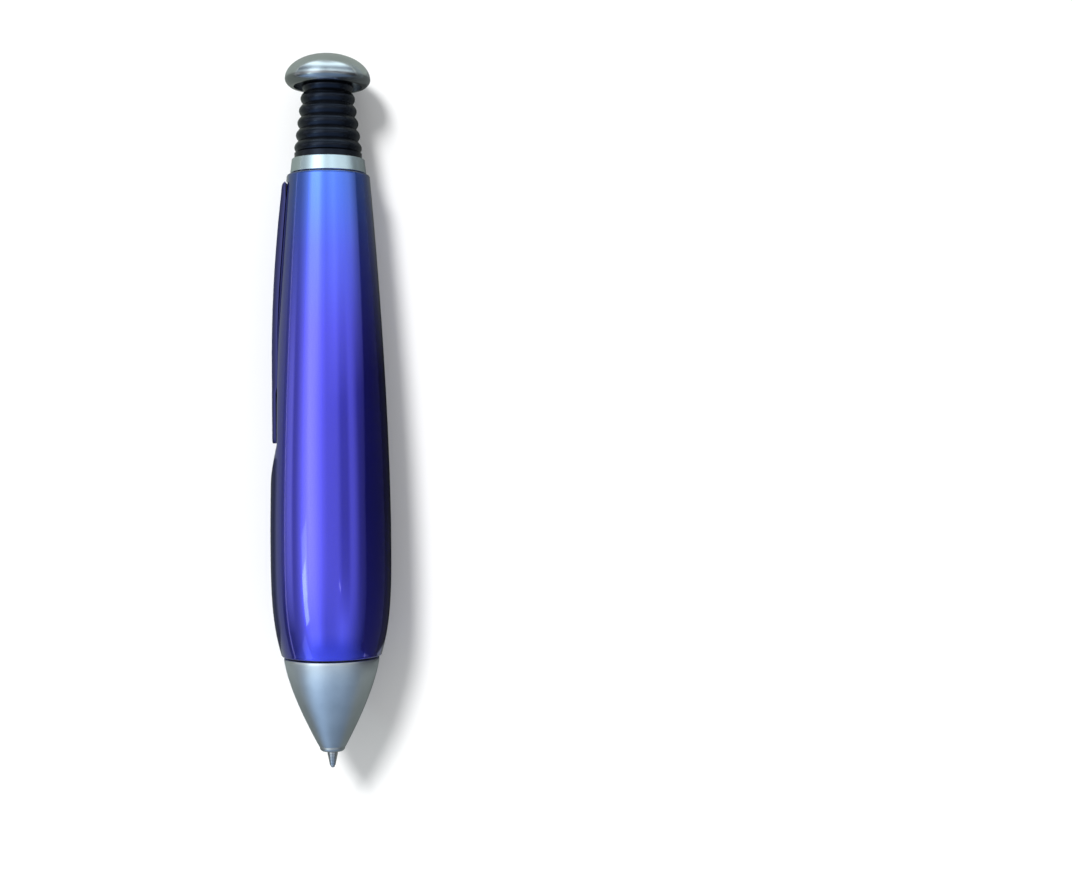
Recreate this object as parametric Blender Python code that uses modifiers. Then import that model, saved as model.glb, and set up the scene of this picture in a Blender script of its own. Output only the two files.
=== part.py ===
"""A fat click ballpoint pen, built piece by piece.

The pen lies along Y with its point towards -Y, its clip on the -X side and +Z up. Sizes are in metres.
Places along the pen are stations: distances from the writing point, measured on the pen's axis.
The pose is the one with the point out.
"""
import math

import bmesh
import bpy
from mathutils import Matrix, Vector

# Clearances
FIT = 0.0003
SPRING_CLEARANCE = 0.0004
SOCKET_CLEARANCE = 0.00005
SLOT_END_CLEARANCE = 0.0006

# How finely round pieces are cut
BODY_STEPS = 40
INNER_STEPS = 24

# Nose
POINT_PROJECTION = 0.0038
NOSE_LENGTH = 0.0211
NOSE_FRONT_RADIUS = 0.0024
NOSE_REAR_RADIUS = 0.01066
NOSE_CURVE = 1.4
NOSE_TIP_WALL = 0.0042
NOSE_POCKET_DEPTH = 0.0054
SEAM_WIDTH = 0.0004
THREAD_RADIUS = 0.0071
THREAD_BORE_RADIUS = 0.0034
THREAD_LENGTH = 0.0091

# Barrel
BARREL_LENGTH = 0.1075
BARREL_FRONT_RADIUS = 0.0111
BELLY_RADIUS = 0.01345
BELLY_OFFSET = 0.0265
BARREL_REAR_RADIUS = 0.0092
FRONT_CURVE = 3.45
REAR_CURVE = 1.65
BARREL_EDGE = 0.0005
INSERT_RADIUS = 0.0089
INSERT_LENGTH = 0.012
MAIN_BORE_LENGTH = 0.0727

# Clip and its recess
CLIP_LENGTH = 0.0581
CLIP_WIDTH = 0.0074
CLIP_PANEL_WIDTH = 0.004
CLIP_CROWN = 0.0004
CLIP_CROWN_CURVE = 1.5
CLIP_FRONT_THICKNESS = 0.0011
CLIP_REAR_THICKNESS = 0.0015
CLIP_FACE = 0.0128
CLIP_FLAT_LENGTH = 0.017
CLIP_ROOT_DROP = 0.0027
CLIP_CURVE = 1.95
CLIP_ROOT_ROUND = 0.0022
CLIP_END_ROUND = 0.0005
BEAD_HALF_LENGTH = 0.0022
BEAD_OFFSET = 0.0136
FOOT_LENGTH = 0.0034
FOOT_WIDTH = 0.005
FOOT_DEPTH = 0.0012
FOOT_SETBACK = 0.0009
RECESS_SETBACK = 0.0015
RECESS_REAR_FLOOR = 0.0086
RECESS_MIDDLE_FLOOR = 0.011
RECESS_FRONT_FLOOR = 0.0111
RECESS_MIDDLE_OFFSET = 0.0313
RECESS_RAMP_LENGTH = 0.0085

# Collar and bellows
COLLAR_HEIGHT = 0.0032
COLLAR_FRONT_RADIUS = 0.00845
COLLAR_REAR_RADIUS = 0.0081
COLLAR_EDGE = 0.0002
RIB_COUNT = 6
RIB_PITCH = 0.00275
RIB_SAMPLES = 4
FIRST_RIB_OFFSET = 0.0027
FIRST_RIB_RADIUS = 0.0075
LAST_RIB_RADIUS = 0.0057
RIB_DEPTH = 0.00075
BELLOWS_WALL = 0.0008
BELLOWS_BASE_BORE = 0.0059

# Button
CAP_RADIUS = 0.0095
CAP_DOME_HEIGHT = 0.00565
CAP_LIP_HEIGHT = 0.0034
CAP_MOUTH_RADIUS = 0.0083
CAP_RIM_DROP = 0.0002
CAP_LIP_WALL = 0.0007
CORE_HEIGHT = 0.0068
CORE_SINK = 0.0032
CORE_TOP_WALL = 0.0018

# Click works
HOUSING_RADIUS = 0.0067
HOUSING_BORE_RADIUS = 0.005
HOUSING_LENGTH = 0.0525
HOUSING_FLANGE_RADIUS = 0.0075
HOUSING_FLANGE_HEIGHT = 0.0012
GUIDE_RIB_COUNT = 4
GUIDE_RIB_THICKNESS = 0.0018
GUIDE_RIB_LENGTH = 0.036
CAM_CORE_RADIUS = 0.004
SPLINE_THICKNESS = 0.0014
SPLINE_LENGTH = 0.004
ROTOR_LENGTH = 0.0057
ROTOR_REST_ANGLE = math.radians(38.1)
PLUNGER_LENGTH = 0.009
PLUNGER_SOCKET_DEPTH = 0.0063
NOTCH_COUNT = 8
NOTCH_SIDE = 0.0012
ROD_RADIUS = 0.0026
GUIDE_FLANGE_RADIUS = 0.0055
GUIDE_FLANGE_HEIGHT = 0.0008
ROD_GUIDE_LENGTH = 0.0061
REFILL_GUIDE_LENGTH = 0.003
REFILL_GUIDE_FLANGE_HEIGHT = 0.0012

# Refill
BALL_DIAMETER = 0.001
BALL_SHOW = 0.00055
POINT_RADIUS = 0.00117
POINT_CONE_LENGTH = 0.0028
POINT_LIP_WALL = 0.00007
POINT_LENGTH = 0.0125
NECK_RADIUS = 0.0017
NECK_LENGTH = 0.0115
NECK_SOCKET_DEPTH = 0.0022
REFILL_RADIUS = 0.00295
REFILL_WALL = 0.00045
HOLDER_COLLAR_LENGTH = 0.0035
HOLDER_SPIGOT_LENGTH = 0.006
TUBE_LENGTH = 0.0617
INK_LENGTH = 0.041
PLUG_RADIUS = 0.00285
PLUG_SPIGOT_LENGTH = 0.006
PLUG_HEAD_LENGTH = 0.0097

# Return spring
SPRING_COIL_RADIUS = 0.00235
SPRING_WIRE_RADIUS = 0.00025
SPRING_CURLS = 6
CURL_POINTS = 10
SEAT_THICKNESS = 0.001

# Stations worked out from the sizes above
NOSE_FRONT = POINT_PROJECTION
NOSE_REAR = NOSE_FRONT + NOSE_LENGTH
CHAMBER_FRONT = NOSE_FRONT + NOSE_TIP_WALL
NOSE_POCKET_FRONT = NOSE_REAR - NOSE_POCKET_DEPTH
BUSH_FRONT = NOSE_POCKET_FRONT + FIT
BARREL_FRONT = NOSE_REAR + SEAM_WIDTH
BARREL_REAR = BARREL_FRONT + BARREL_LENGTH
BELLY_STATION = BARREL_FRONT + BELLY_OFFSET
MAIN_BORE_REAR = BARREL_FRONT + MAIN_BORE_LENGTH
RECESS_REAR = BARREL_REAR - RECESS_SETBACK
CLIP_REAR = RECESS_REAR - FIT
CLIP_FRONT = CLIP_REAR - CLIP_LENGTH
CLIP_FLAT_REAR = CLIP_FRONT + CLIP_FLAT_LENGTH
RECESS_MIDDLE = RECESS_REAR - RECESS_MIDDLE_OFFSET
RECESS_FRONT = CLIP_FRONT - FIT
FOOT_REAR = CLIP_REAR - FOOT_SETBACK
FOOT_FRONT = FOOT_REAR - FOOT_LENGTH
COLLAR_FRONT = BARREL_REAR + FIT
COLLAR_REAR = COLLAR_FRONT + COLLAR_HEIGHT
HOUSING_REAR = COLLAR_FRONT + HOUSING_FLANGE_HEIGHT
HOUSING_FRONT = COLLAR_FRONT - HOUSING_LENGTH
BELLOWS_FRONT = HOUSING_REAR + FIT
FIRST_RIB = COLLAR_REAR + FIRST_RIB_OFFSET
BELLOWS_REAR = FIRST_RIB + (RIB_COUNT - 0.5) * RIB_PITCH
CAP_CEILING = BELLOWS_REAR + FIT
CAP_RIM = CAP_CEILING - CAP_RIM_DROP
TOTAL_LENGTH = CAP_RIM + CAP_DOME_HEIGHT
CORE_FRONT = BELLOWS_REAR - CORE_SINK
CORE_REAR = CORE_FRONT + CORE_HEIGHT
CORE_SOCKET_REAR = CORE_REAR - CORE_TOP_WALL
ROD_REAR = CORE_SOCKET_REAR - FIT
NECK_FRONT = BALL_SHOW + POINT_LENGTH - NECK_SOCKET_DEPTH + FIT
SHOULDER = NECK_FRONT + NECK_LENGTH
COLLAR_OF_HOLDER_REAR = SHOULDER + HOLDER_COLLAR_LENGTH
TUBE_FRONT = COLLAR_OF_HOLDER_REAR + FIT
TUBE_REAR = TUBE_FRONT + TUBE_LENGTH
INK_FRONT = COLLAR_OF_HOLDER_REAR + HOLDER_SPIGOT_LENGTH + FIT
PLUG_HEAD_FRONT = TUBE_REAR + FIT
PLUG_REAR = PLUG_HEAD_FRONT + PLUG_HEAD_LENGTH
ROTOR_FRONT = PLUG_REAR + FIT
ROTOR_REAR = ROTOR_FRONT + ROTOR_LENGTH
PLUNGER_FRONT = ROTOR_REAR + FIT
PLUNGER_REAR = PLUNGER_FRONT + PLUNGER_LENGTH
ROD_FRONT = PLUNGER_REAR - PLUNGER_SOCKET_DEPTH + FIT
SEAT_FRONT = CHAMBER_FRONT + FIT
SEAT_REAR = SEAT_FRONT + SEAT_THICKNESS
SPRING_FRONT = SEAT_REAR + FIT + SPRING_WIRE_RADIUS
SPRING_REAR = SHOULDER - FIT - SPRING_WIRE_RADIUS
ROD_GUIDE_FRONT = BELLOWS_FRONT - ROD_GUIDE_LENGTH
REFILL_GUIDE_REAR = HOUSING_FRONT - FIT + REFILL_GUIDE_LENGTH
GUIDE_RIB_FRONT = REFILL_GUIDE_REAR + FIT

# Radii that follow from a fit
CHAMBER_RADIUS = SPRING_COIL_RADIUS + SPRING_WIRE_RADIUS + SPRING_CLEARANCE
MAIN_BORE_RADIUS = INSERT_RADIUS + FIT
REAR_BORE_RADIUS = HOUSING_RADIUS + FIT
COLLAR_BORE_RADIUS = HOUSING_FLANGE_RADIUS + FIT
BELLOWS_TOP_BORE = LAST_RIB_RADIUS - RIB_DEPTH - BELLOWS_WALL
CORE_RADIUS = BELLOWS_TOP_BORE - FIT
ROD_BORE_RADIUS = ROD_RADIUS + FIT
CAP_POCKET_RADIUS = CAP_MOUTH_RADIUS - CAP_LIP_WALL
GUIDE_RIB_RADIUS = CAM_CORE_RADIUS + FIT
SPLINE_RADIUS = HOUSING_BORE_RADIUS - FIT
TUBE_BORE_RADIUS = REFILL_RADIUS - REFILL_WALL
SPIGOT_RADIUS = TUBE_BORE_RADIUS - FIT
REFILL_GUIDE_BORE = REFILL_RADIUS + FIT

# Finishes: colour, roughness, metallic
FINISHES = {
    "violet_lacquer": ((0.085, 0.075, 0.62), 0.25, 0.4),
    "satin_silver": ((0.52, 0.55, 0.58), 0.35, 0.9),
    "bright_silver": ((0.75, 0.77, 0.8), 0.2, 1.0),
    "black_rubber": ((0.012, 0.012, 0.013), 0.65, 0.0),
    "steel": ((0.55, 0.55, 0.56), 0.25, 1.0),
    "brass": ((0.65, 0.48, 0.2), 0.3, 1.0),
    "white_plastic": ((0.75, 0.75, 0.73), 0.45, 0.0),
    "grey_plastic": ((0.3, 0.3, 0.32), 0.5, 0.0),
    "blue_ink": ((0.02, 0.03, 0.3), 0.2, 0.0),
}


def clear_scene():
    for item in list(bpy.data.objects):
        bpy.data.objects.remove(item, do_unlink=True)


def new_collection(name):
    collection = bpy.data.collections.new(name)
    bpy.context.scene.collection.children.link(collection)
    return collection


def make_material(name):
    colour, roughness, metallic = FINISHES[name]
    material = bpy.data.materials.new(name)
    material.use_nodes = True
    shader = material.node_tree.nodes["Principled BSDF"]
    shader.inputs["Base Color"].default_value = (*colour, 1.0)
    shader.inputs["Roughness"].default_value = roughness
    shader.inputs["Metallic"].default_value = metallic
    material.diffuse_color = (*colour, 1.0)
    return material


class Workshop:
    """Holds the collections, the materials and the empty on the pen's axis that carries every piece."""

    def __init__(self):
        self.parts = new_collection("ballpoint_pen")
        self.cutters = new_collection("cutters")
        self.materials = {name: make_material(name) for name in FINISHES}
        self.axis = bpy.data.objects.new("pen_axis", None)
        self.axis.location = (0.0, -TOTAL_LENGTH / 2, BELLY_RADIUS)
        self.parts.objects.link(self.axis)

    def place(self, name, data, station, finish, side=0.0):
        """A part: an object at a station, on the pen's axis or off to a side of it."""
        part = bpy.data.objects.new(name, data)
        part.location = (side, station, 0.0)
        part.parent = self.axis
        part.data.materials.append(self.materials[finish])
        self.parts.objects.link(part)
        return part

    def tool(self, name, data, station, side=0.0):
        """A cutter, or a piece to be joined on, which isn't a part itself."""
        cutter = bpy.data.objects.new(name, data)
        cutter.location = (side, station, 0.0)
        cutter.parent = self.axis
        cutter.hide_render = True
        cutter.display_type = "WIRE"
        self.cutters.objects.link(cutter)
        return cutter

    def turned(self, name, finish, station, outline, closed=True, steps=INNER_STEPS):
        """A turned part. The outline is (radius, station) pairs, down the outside from the button's end."""
        mesh = bpy.data.meshes.new(name)
        points = [(radius, place - station, 0.0) for radius, place in outline]
        edges = [(i, i + 1) for i in range(len(points) - 1)]
        if closed:
            edges.append((len(points) - 1, 0))
        mesh.from_pydata(points, edges, [])
        part = self.place(name, mesh, station, finish)
        screw = part.modifiers.new("turn", "SCREW")
        screw.axis = "Y"
        screw.angle = 2 * math.pi
        screw.steps = steps
        screw.render_steps = steps
        screw.use_merge_vertices = True
        screw.merge_threshold = 1e-6
        return part


def box_mesh(name, size, centre=(0.0, 0.0, 0.0), turn=None):
    """A box of the given size, moved to its centre and then turned about the local axes."""
    mesh = bpy.data.meshes.new(name)
    shape = bmesh.new()
    bmesh.ops.create_cube(shape, size=1.0)
    bmesh.ops.scale(shape, vec=size, verts=shape.verts)
    bmesh.ops.translate(shape, vec=centre, verts=shape.verts)
    if turn is not None:
        bmesh.ops.transform(shape, matrix=turn, verts=shape.verts)
    shape.to_mesh(mesh)
    shape.free()
    return mesh


def outline_mesh(name, outline, width):
    """A flat outline of (x, y) points, given a width along Z, as a welded mesh."""
    curve = bpy.data.curves.new(name, "CURVE")
    curve.dimensions = "2D"
    curve.fill_mode = "BOTH"
    curve.extrude = width / 2
    spline = curve.splines.new("POLY")
    spline.points.add(len(outline) - 1)
    for point, (x, y) in zip(spline.points, outline):
        point.co = (x, y, 0.0, 1.0)
    spline.use_cyclic_u = True
    return curve_to_mesh(name, curve)


def curve_to_mesh(name, curve):
    """The curve's evaluated surface as a welded mesh. The curve is removed."""
    holder = bpy.data.objects.new(name + "_curve", curve)
    bpy.context.scene.collection.objects.link(holder)
    graph = bpy.context.evaluated_depsgraph_get()
    mesh = bpy.data.meshes.new_from_object(holder.evaluated_get(graph))
    mesh.name = name
    shape = bmesh.new()
    shape.from_mesh(mesh)
    bmesh.ops.remove_doubles(shape, verts=shape.verts, dist=1e-7)
    bmesh.ops.recalc_face_normals(shape, faces=shape.faces)
    shape.to_mesh(mesh)
    shape.free()
    bpy.data.objects.remove(holder, do_unlink=True)
    bpy.data.curves.remove(curve)
    return mesh


def combine(part, other, operation):
    modifier = part.modifiers.new(other.name, "BOOLEAN")
    modifier.operation = operation
    modifier.solver = "EXACT"
    modifier.object = other


def barrel_radius(station):
    """The barrel swells from its mouth to the belly and thins towards the collar."""
    if station < BELLY_STATION:
        share = (BELLY_STATION - station) / (BELLY_STATION - BARREL_FRONT)
        return BELLY_RADIUS - (BELLY_RADIUS - BARREL_FRONT_RADIUS) * share ** FRONT_CURVE
    share = (station - BELLY_STATION) / (BARREL_REAR - BELLY_STATION)
    return BELLY_RADIUS - (BELLY_RADIUS - BARREL_REAR_RADIUS) * share ** REAR_CURVE


def nose_radius(station):
    share = (NOSE_REAR - station) / NOSE_LENGTH
    return NOSE_REAR_RADIUS - (NOSE_REAR_RADIUS - NOSE_FRONT_RADIUS) * share ** NOSE_CURVE


def recess_floor(station):
    """How far the flat floor of the clip's recess lies from the pen's axis."""
    if station > RECESS_MIDDLE:
        share = (station - RECESS_MIDDLE) / RECESS_MIDDLE_OFFSET
        return RECESS_MIDDLE_FLOOR + (RECESS_REAR_FLOOR - RECESS_MIDDLE_FLOOR) * share
    share = (RECESS_MIDDLE - station) / (RECESS_MIDDLE - RECESS_FRONT)
    return RECESS_MIDDLE_FLOOR + (RECESS_FRONT_FLOOR - RECESS_MIDDLE_FLOOR) * share


def clip_face(station):
    """How far the clip's outer face lies from the pen's axis: flat at its front, falling to its root."""
    past_flat = max(0.0, station - CLIP_FLAT_REAR)
    share = past_flat / (CLIP_REAR - CLIP_FLAT_REAR)
    return CLIP_FACE - CLIP_ROOT_DROP * share ** CLIP_CURVE


def between(first, last, count):
    """Evenly spaced values from first to last."""
    return [first + (last - first) * i / (count - 1) for i in range(count)]


def arc(centre, radius, start, end, count):
    """Points of an arc about a centre, with angles in degrees."""
    angles = [math.radians(a) for a in between(start, end, count)]
    return [(centre[0] + radius * math.cos(a), centre[1] + radius * math.sin(a)) for a in angles]


def build_barrel(shop):
    rear_edge = BARREL_REAR - BARREL_EDGE
    rear_edge_radius = barrel_radius(rear_edge)
    outside = arc((rear_edge_radius - BARREL_EDGE, rear_edge), BARREL_EDGE, 90, 0, 4)
    rear_stretch = between(rear_edge, BELLY_STATION, 13)[1:]
    front_stretch = between(BELLY_STATION, BARREL_FRONT, 9)[1:]
    outside += [(barrel_radius(s), s) for s in rear_stretch + front_stretch]
    bore = [
        (MAIN_BORE_RADIUS, BARREL_FRONT),
        (MAIN_BORE_RADIUS, MAIN_BORE_REAR),
        (REAR_BORE_RADIUS, MAIN_BORE_REAR),
        (REAR_BORE_RADIUS, BARREL_REAR),
    ]
    barrel = shop.turned("barrel", "violet_lacquer", BARREL_FRONT, outside + bore, steps=BODY_STEPS)

    clear_of_barrel = 2 * BELLY_RADIUS
    recess = [
        (-clear_of_barrel, RECESS_REAR),
        (-recess_floor(RECESS_REAR), RECESS_REAR),
        (-recess_floor(RECESS_MIDDLE), RECESS_MIDDLE),
        (-recess_floor(RECESS_FRONT), RECESS_FRONT),
        (-BELLY_RADIUS, RECESS_FRONT - RECESS_RAMP_LENGTH),
        (-clear_of_barrel, RECESS_FRONT - RECESS_RAMP_LENGTH),
    ]
    recess_local = [(x, s - BARREL_FRONT) for x, s in recess]
    recess_shape = outline_mesh("recess_cutter", recess_local, clear_of_barrel)
    cutter = shop.tool("recess_cutter", recess_shape, BARREL_FRONT)
    combine(barrel, cutter, "DIFFERENCE")

    slot_outer = clear_of_barrel / 2
    slot_inner = REAR_BORE_RADIUS / 2
    slot_size = (slot_outer - slot_inner, FOOT_LENGTH + 2 * SLOT_END_CLEARANCE, FOOT_WIDTH + 2 * FIT)
    slot_centre = (-(slot_outer + slot_inner) / 2, (FOOT_FRONT + FOOT_REAR) / 2 - BARREL_FRONT, 0.0)
    slot = shop.tool("clip_slot_cutter", box_mesh("clip_slot_cutter", slot_size, slot_centre), BARREL_FRONT)
    combine(barrel, slot, "DIFFERENCE")


def clip_inside(station):
    """The clip's inner face: it thickens to its root, clears the recess and has a bead that bears on it."""
    share = (station - CLIP_FRONT) / CLIP_LENGTH
    thickness = CLIP_FRONT_THICKNESS + (CLIP_REAR_THICKNESS - CLIP_FRONT_THICKNESS) * share
    lowest = recess_floor(station) + FIT
    face = max(clip_face(station) - thickness, lowest)
    past_bead = abs(station - CLIP_FRONT - BEAD_OFFSET) / BEAD_HALF_LENGTH
    if past_bead < 1:
        face -= (face - lowest) * math.cos(past_bead * math.pi / 2)
    return face


def clip_section(drop):
    """The clip's side outline as (distance from the axis, station), with its outer face lowered by a drop."""
    root_inner = clip_inside(CLIP_REAR)
    root_front = CLIP_REAR - CLIP_ROOT_ROUND
    root_out = clip_face(root_front) - drop - root_inner
    outline = []
    for turn in between(0, math.pi / 2, 5):
        outline.append((root_inner + root_out * math.sin(turn), root_front + CLIP_ROOT_ROUND * math.cos(turn)))
    end = CLIP_FRONT + CLIP_END_ROUND
    bowed = between(root_front, CLIP_FLAT_REAR, 9)[1:]
    outline += [(clip_face(s) - drop, s) for s in bowed + [end]]
    outer = clip_face(end) - drop
    inner = clip_inside(end)
    for turn in between(0, math.pi, 6)[1:-1]:
        across = (outer + inner) / 2 + (outer - inner) / 2 * math.cos(turn)
        outline.append((across, end - CLIP_END_ROUND * math.sin(turn)))
    bead = CLIP_FRONT + BEAD_OFFSET
    bead_stretch = between(bead - BEAD_HALF_LENGTH, bead + BEAD_HALF_LENGTH, 7)
    rear_stretch = between(bead_stretch[-1], CLIP_REAR, 13)[1:-1]
    outline += [(clip_inside(s), s) for s in [end] + bead_stretch + rear_stretch]
    return outline


def clip_mesh(side, station):
    """Side outlines set across the clip's width, joined into one body. The outer face falls to both edges."""
    half_width = CLIP_WIDTH / 2
    half_panel = CLIP_PANEL_WIDTH / 2
    half_levels = between(half_panel, half_width, 3)
    levels = [-z for z in reversed(half_levels)] + half_levels
    shape = bmesh.new()
    rings = []
    for level in levels:
        past_panel = (abs(level) - half_panel) / (half_width - half_panel)
        section = clip_section(CLIP_CROWN * past_panel ** CLIP_CROWN_CURVE)
        rings.append([shape.verts.new((side - x, s - station, level)) for x, s in section])
    for ring, following in zip(rings, rings[1:]):
        for i in range(len(ring)):
            j = (i + 1) % len(ring)
            shape.faces.new((ring[i], ring[j], following[j], following[i]))
    shape.faces.new(rings[0])
    shape.faces.new(rings[-1])
    bmesh.ops.recalc_face_normals(shape, faces=shape.faces)
    mesh = bpy.data.meshes.new("clip")
    shape.to_mesh(mesh)
    shape.free()
    return mesh


def build_clip(shop):
    """The clip, with its origin on the line it bends about and a foot that goes through the barrel's slot."""
    bend_station = (FOOT_FRONT + FOOT_REAR) / 2
    bend_side = recess_floor(bend_station)
    clip = shop.place("clip", clip_mesh(bend_side, bend_station), bend_station, "violet_lacquer", -bend_side)
    foot_out = CLIP_REAR_THICKNESS / 2
    foot_size = (foot_out + FOOT_DEPTH, FOOT_LENGTH, FOOT_WIDTH)
    foot_centre = ((FOOT_DEPTH - foot_out) / 2, 0.0, 0.0)
    foot = shop.tool("clip_foot", box_mesh("clip_foot", foot_size, foot_centre), bend_station, -bend_side)
    combine(clip, foot, "UNION")


def build_nose(shop):
    outside = [(nose_radius(s), s) for s in between(NOSE_REAR, NOSE_FRONT, 9)]
    bore = [
        (POINT_RADIUS + FIT, NOSE_FRONT),
        (POINT_RADIUS + FIT, CHAMBER_FRONT),
        (CHAMBER_RADIUS, CHAMBER_FRONT),
        (CHAMBER_RADIUS, NOSE_POCKET_FRONT),
        (THREAD_RADIUS + FIT, NOSE_POCKET_FRONT),
        (THREAD_RADIUS + FIT, NOSE_REAR),
    ]
    shop.turned("nose_cone", "satin_silver", NOSE_REAR, outside + bore, steps=BODY_STEPS)

    bush_rear = NOSE_REAR + THREAD_LENGTH
    bush = [
        (THREAD_RADIUS, bush_rear),
        (THREAD_RADIUS, BUSH_FRONT),
        (THREAD_BORE_RADIUS, BUSH_FRONT),
        (THREAD_BORE_RADIUS, bush_rear),
    ]
    shop.turned("nose_thread_bush", "grey_plastic", NOSE_REAR, bush)

    insert_front = BARREL_FRONT + FIT
    insert = [
        (INSERT_RADIUS, insert_front + INSERT_LENGTH),
        (INSERT_RADIUS, insert_front),
        (THREAD_RADIUS + FIT, insert_front),
        (THREAD_RADIUS + FIT, insert_front + INSERT_LENGTH),
    ]
    shop.turned("front_insert", "grey_plastic", insert_front, insert)

    seat = [
        (CHAMBER_RADIUS - FIT, SEAT_REAR),
        (CHAMBER_RADIUS - FIT, SEAT_FRONT),
        (POINT_RADIUS + FIT, SEAT_FRONT),
        (POINT_RADIUS + FIT, SEAT_REAR),
    ]
    shop.turned("spring_seat", "steel", SEAT_FRONT, seat)


def build_spring(shop):
    """An open helix from the seat to the refill's shoulder, with its least gap measured on its points."""
    length = SPRING_REAR - SPRING_FRONT
    count = SPRING_CURLS * CURL_POINTS + 1
    points = []
    for i in range(count):
        angle = 2 * math.pi * i / CURL_POINTS
        place = SPRING_FRONT - SHOULDER + length * i / (count - 1)
        points.append((SPRING_COIL_RADIUS * math.cos(angle), place, SPRING_COIL_RADIUS * math.sin(angle)))
    curve = bpy.data.curves.new("return_spring", "CURVE")
    curve.dimensions = "3D"
    curve.bevel_depth = SPRING_WIRE_RADIUS
    curve.bevel_resolution = 1
    curve.use_fill_caps = True
    spline = curve.splines.new("POLY")
    spline.points.add(count - 1)
    for point, place in zip(spline.points, points):
        point.co = (*place, 1.0)
    shop.place("return_spring", curve_to_mesh("return_spring", curve), SHOULDER, "steel")

    centres = [Vector(p) for p in points]
    half_curl = CURL_POINTS // 2
    pairs = [(i, j) for i in range(count) for j in range(i + half_curl, count)]
    least = min((centres[i] - centres[j]).length for i, j in pairs) - 2 * SPRING_WIRE_RADIUS
    print("return_spring: least gap to itself %.2f mm" % (least * 1000))


def build_refill(shop):
    ball_radius = BALL_DIAMETER / 2
    ball = bpy.data.meshes.new("refill_ball")
    shape = bmesh.new()
    bmesh.ops.create_uvsphere(shape, u_segments=16, v_segments=8, radius=ball_radius)
    shape.to_mesh(ball)
    shape.free()
    shop.place("refill_ball", ball, ball_radius, "steel")

    socket_radius = ball_radius + SOCKET_CLEARANCE
    socket_floor = BALL_DIAMETER + 2 * SOCKET_CLEARANCE
    point_rear = BALL_SHOW + POINT_LENGTH
    point = [
        (0.0, point_rear),
        (POINT_RADIUS, point_rear),
        (POINT_RADIUS, BALL_SHOW + POINT_CONE_LENGTH),
        (socket_radius + POINT_LIP_WALL, BALL_SHOW),
        (socket_radius, BALL_SHOW),
        (socket_radius, socket_floor),
        (0.0, socket_floor),
    ]
    shop.turned("refill_point", "steel", BALL_SHOW, point, closed=False)

    holder_rear = COLLAR_OF_HOLDER_REAR + HOLDER_SPIGOT_LENGTH
    holder = [
        (0.0, holder_rear),
        (SPIGOT_RADIUS, holder_rear),
        (SPIGOT_RADIUS, COLLAR_OF_HOLDER_REAR),
        (REFILL_RADIUS, COLLAR_OF_HOLDER_REAR),
        (REFILL_RADIUS, SHOULDER),
        (NECK_RADIUS, SHOULDER),
        (NECK_RADIUS, NECK_FRONT),
        (POINT_RADIUS + FIT, NECK_FRONT),
        (POINT_RADIUS + FIT, point_rear + FIT),
        (0.0, point_rear + FIT),
    ]
    shop.turned("refill_holder", "brass", SHOULDER, holder, closed=False)

    tube = [
        (REFILL_RADIUS, TUBE_REAR),
        (REFILL_RADIUS, TUBE_FRONT),
        (TUBE_BORE_RADIUS, TUBE_FRONT),
        (TUBE_BORE_RADIUS, TUBE_REAR),
    ]
    shop.turned("refill_tube", "brass", TUBE_FRONT, tube)

    ink_rear = INK_FRONT + INK_LENGTH
    ink = [(0.0, ink_rear), (SPIGOT_RADIUS, ink_rear), (SPIGOT_RADIUS, INK_FRONT), (0.0, INK_FRONT)]
    shop.turned("ink_column", "blue_ink", INK_FRONT, ink, closed=False)

    plug_front = TUBE_REAR - PLUG_SPIGOT_LENGTH
    plug = [
        (0.0, PLUG_REAR),
        (PLUG_RADIUS, PLUG_REAR),
        (PLUG_RADIUS, PLUG_HEAD_FRONT),
        (SPIGOT_RADIUS, PLUG_HEAD_FRONT),
        (SPIGOT_RADIUS, plug_front),
        (0.0, plug_front),
    ]
    shop.turned("refill_plug", "white_plastic", PLUG_HEAD_FRONT, plug, closed=False)


def add_splines(shop, part, station, along, length, angle):
    """Joins keys that run in the housing's grooves, spaced evenly from an angle about the axis."""
    inner = (ROD_BORE_RADIUS + CAM_CORE_RADIUS) / 2
    size = (SPLINE_RADIUS - inner, length, SPLINE_THICKNESS)
    centre = ((SPLINE_RADIUS + inner) / 2, along - station, 0.0)
    for i in range(GUIDE_RIB_COUNT):
        turn = Matrix.Rotation(angle + 2 * math.pi * i / GUIDE_RIB_COUNT, 4, "Y")
        name = "%s_spline_%d" % (part.name, i + 1)
        combine(part, shop.tool(name, box_mesh(name, size, centre, turn), station), "UNION")


def cut_notches(shop, part, station, face):
    """Cuts V notches across an end face, which leave a crown of teeth."""
    size = (4 * CAM_CORE_RADIUS, NOTCH_SIDE, NOTCH_SIDE)
    on_edge = Matrix.Rotation(math.pi / 4, 4, "X")
    for i in range(NOTCH_COUNT // 2):
        about_axis = Matrix.Rotation(2 * math.pi * i / NOTCH_COUNT, 4, "Y")
        turn = Matrix.Translation((0.0, face - station, 0.0)) @ about_axis @ on_edge
        name = "%s_notch_%d" % (part.name, i + 1)
        combine(part, shop.tool(name, box_mesh(name, size, turn=turn), station), "DIFFERENCE")


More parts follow.
